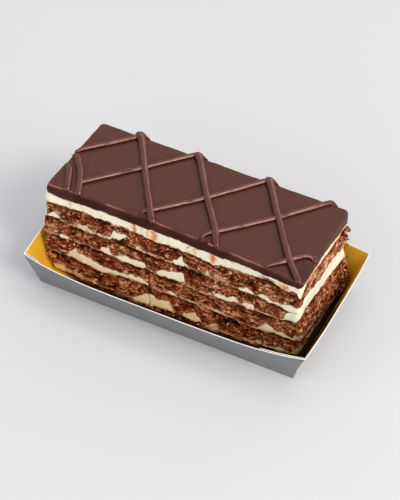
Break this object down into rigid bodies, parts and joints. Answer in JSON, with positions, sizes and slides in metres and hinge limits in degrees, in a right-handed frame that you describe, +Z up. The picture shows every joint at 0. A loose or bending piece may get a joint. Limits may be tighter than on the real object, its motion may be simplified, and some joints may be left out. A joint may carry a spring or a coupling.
{
  "type": "opera cake",
  "caption": "Rectangular portion of layered coffee sponge and cream under a chocolate glaze piped with a crossing lattice, in a folded gold card tray.",
  "frame": {"origin": "middle of the tray's underside, on the surface it stands on", "axes": "+X along the cake's length towards its cut right end, -Y towards its long front side, +Z up"},
  "size_m": [0.125, 0.0703, 0.0452],
  "materials": {
    "gold_card": "satin",
    "coffee_sponge": "matte",
    "butter_cream": "satin",
    "chocolate_glaze": "satin"
  },
  "bodies": {
    "root": {"card_tray": "gold_card", "sponge_1": "coffee_sponge", "cream_1": "butter_cream", "sponge_2": "coffee_sponge", "cream_2": "butter_cream", "sponge_3": "coffee_sponge", "cream_3": "butter_cream", "sponge_4": "coffee_sponge", "cream_4": "butter_cream", "sponge_5": "coffee_sponge", "cream_5": "butter_cream", "glaze": "chocolate_glaze"}
  },
  "joints": []
}
